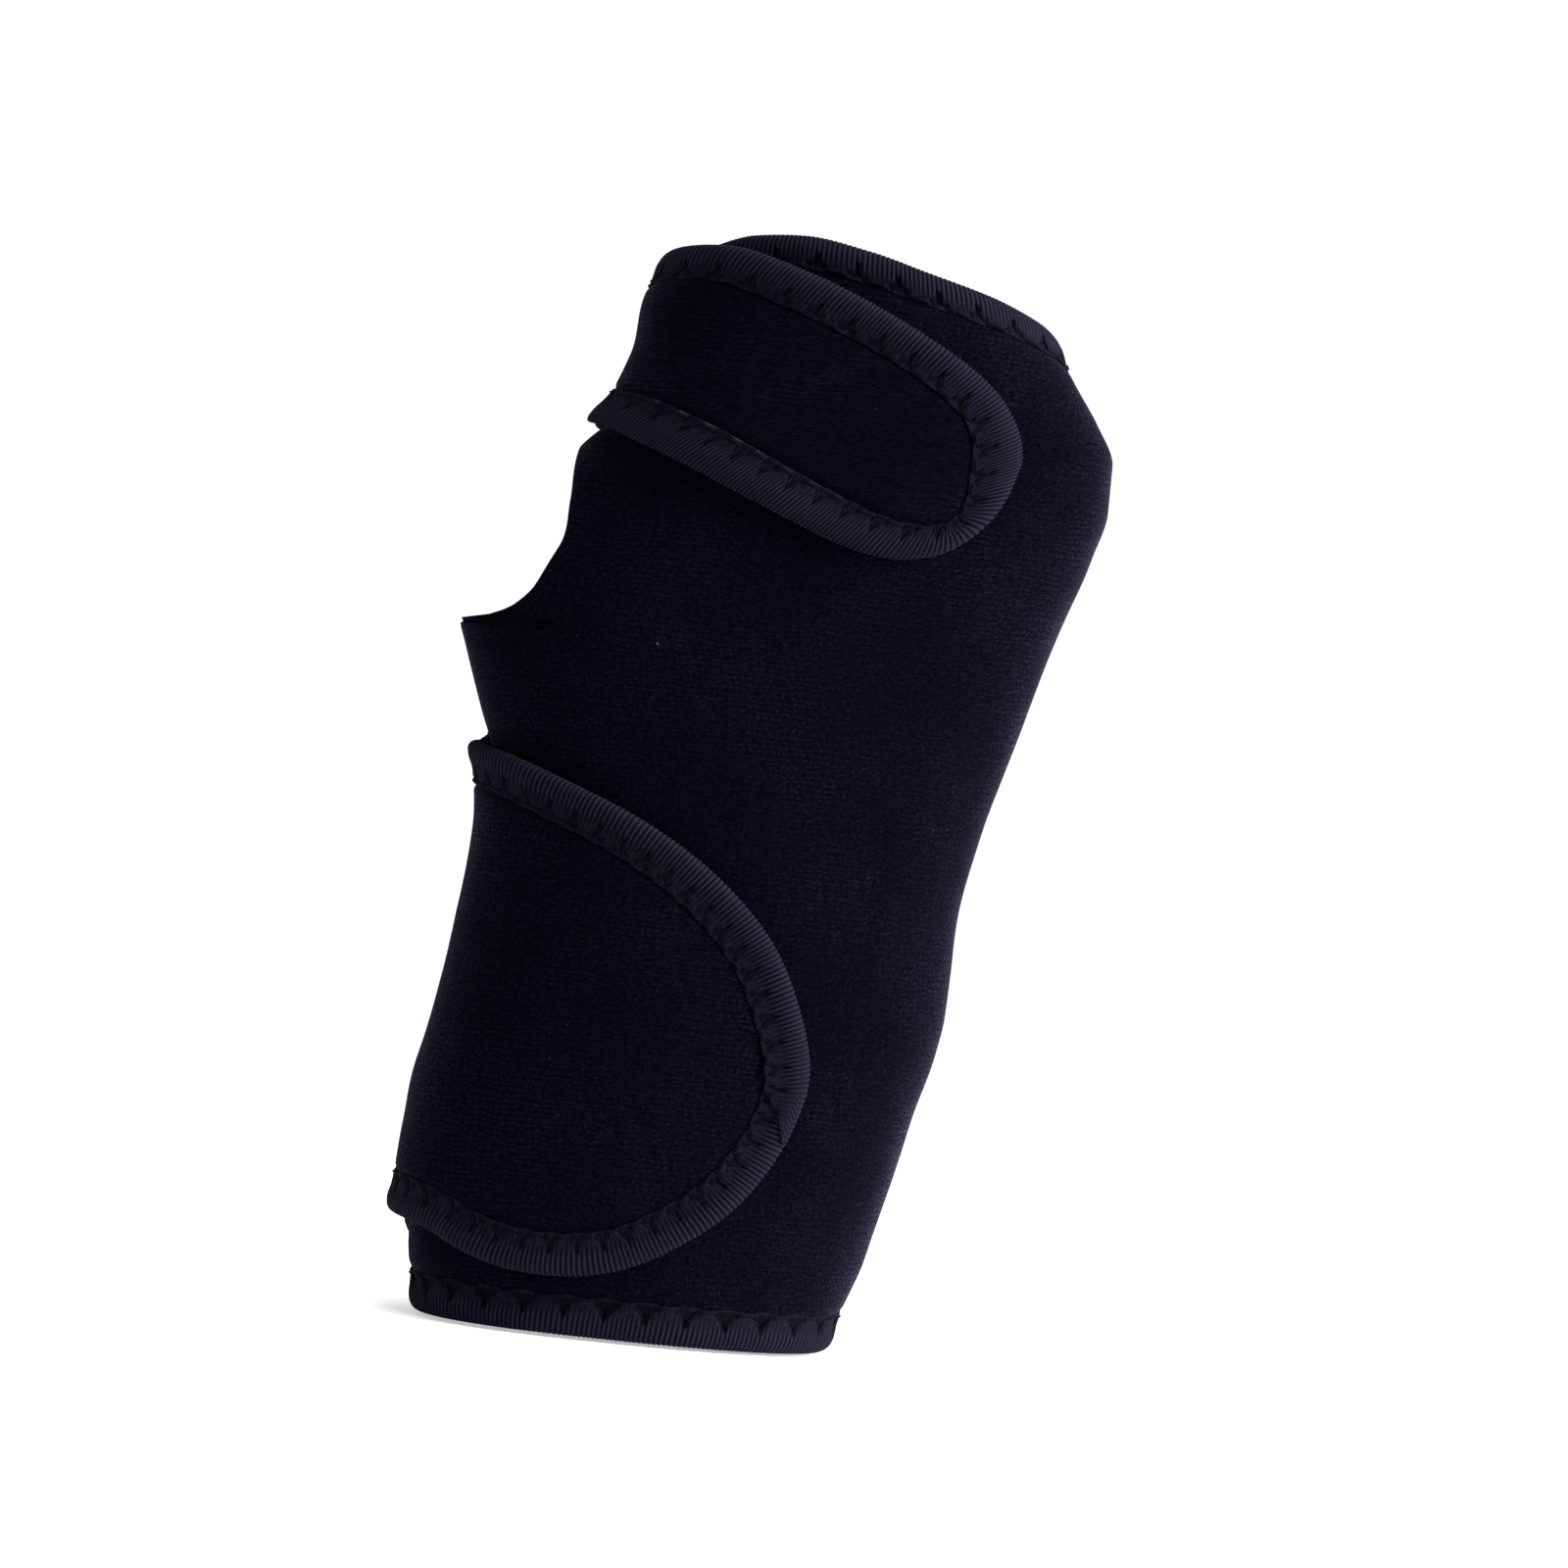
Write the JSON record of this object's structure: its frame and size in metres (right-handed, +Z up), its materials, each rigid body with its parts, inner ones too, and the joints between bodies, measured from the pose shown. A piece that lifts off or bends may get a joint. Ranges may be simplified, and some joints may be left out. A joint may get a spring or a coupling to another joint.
{
  "type": "wrist splint",
  "caption": "Wrap-round neoprene wrist splint with thumb opening, folded-tape edges, a hand strap, a D-shaped forearm flap and a removable palm stay.",
  "frame": {"origin": "middle of the bottom face of the bounding box, in the plane of the forearm rim", "axes": "+Z up from the forearm rim to the finger rim, -Y out of the back of the hand, +Y out of the palm, +X to the little-finger side, -X to the thumb side"},
  "size_m": [0.1146, 0.067, 0.1948],
  "materials": {
    "loop_knit_neoprene": "brushed loop knit over foam, near black with a violet cast",
    "binding_tape": "folded elastic tape with fine cross ribs, near black",
    "thread": "spun polyester, near black",
    "hook_fastener": "moulded nylon hooks, black",
    "pocket_jersey": "smooth jersey, near black",
    "bare_aluminium": "mill finish, lightly brushed",
    "dipped_vinyl": "dipped soft vinyl, satin black"
  },
  "bodies": {
    "wrap": {"body_wrap": "loop_knit_neoprene", "forearm_opening_binding": "binding_tape", "hand_opening_binding": "binding_tape", "palmar_edge_binding": "binding_tape", "forearm_opening_stitching": "thread", "hand_opening_stitching": "thread", "palmar_edge_stitching": "thread", "stay_pocket": "pocket_jersey", "stay_pocket_stitching": "thread"},
    "flap": {"forearm_flap": "loop_knit_neoprene", "forearm_flap_binding": "binding_tape", "forearm_flap_hook_patch": "hook_fastener", "forearm_flap_stitching": "thread"},
    "strap": {"hand_strap": "loop_knit_neoprene", "hand_strap_binding": "binding_tape", "hand_strap_hook_patch": "hook_fastener", "hand_strap_stitching": "thread"},
    "stay": {"palmar_stay": "bare_aluminium", "stay_tip_distal": "dipped_vinyl", "stay_tip_proximal": "dipped_vinyl"}
  },
  "joints": [
    {"name": "forearm_flap_hinge", "type": "hinge", "parent": "wrap", "child": "flap", "pos_m": [-0.05257, 0.0115, 0.05915], "axis": [-0.0704, -0.0247, -0.9972], "range_deg": [0, 135]},
    {"name": "hand_strap_hinge", "type": "hinge", "parent": "wrap", "child": "strap", "pos_m": [-0.03136, 0.01227, 0.17495], "axis": [-0.3446, -0.0501, -0.9374], "range_deg": [0, 135]},
    {"name": "palmar_stay_slide", "type": "slide", "parent": "wrap", "child": "stay", "axis": [0.1444, 0, 0.9895], "range_m": [0, 0.165]}
  ]
}
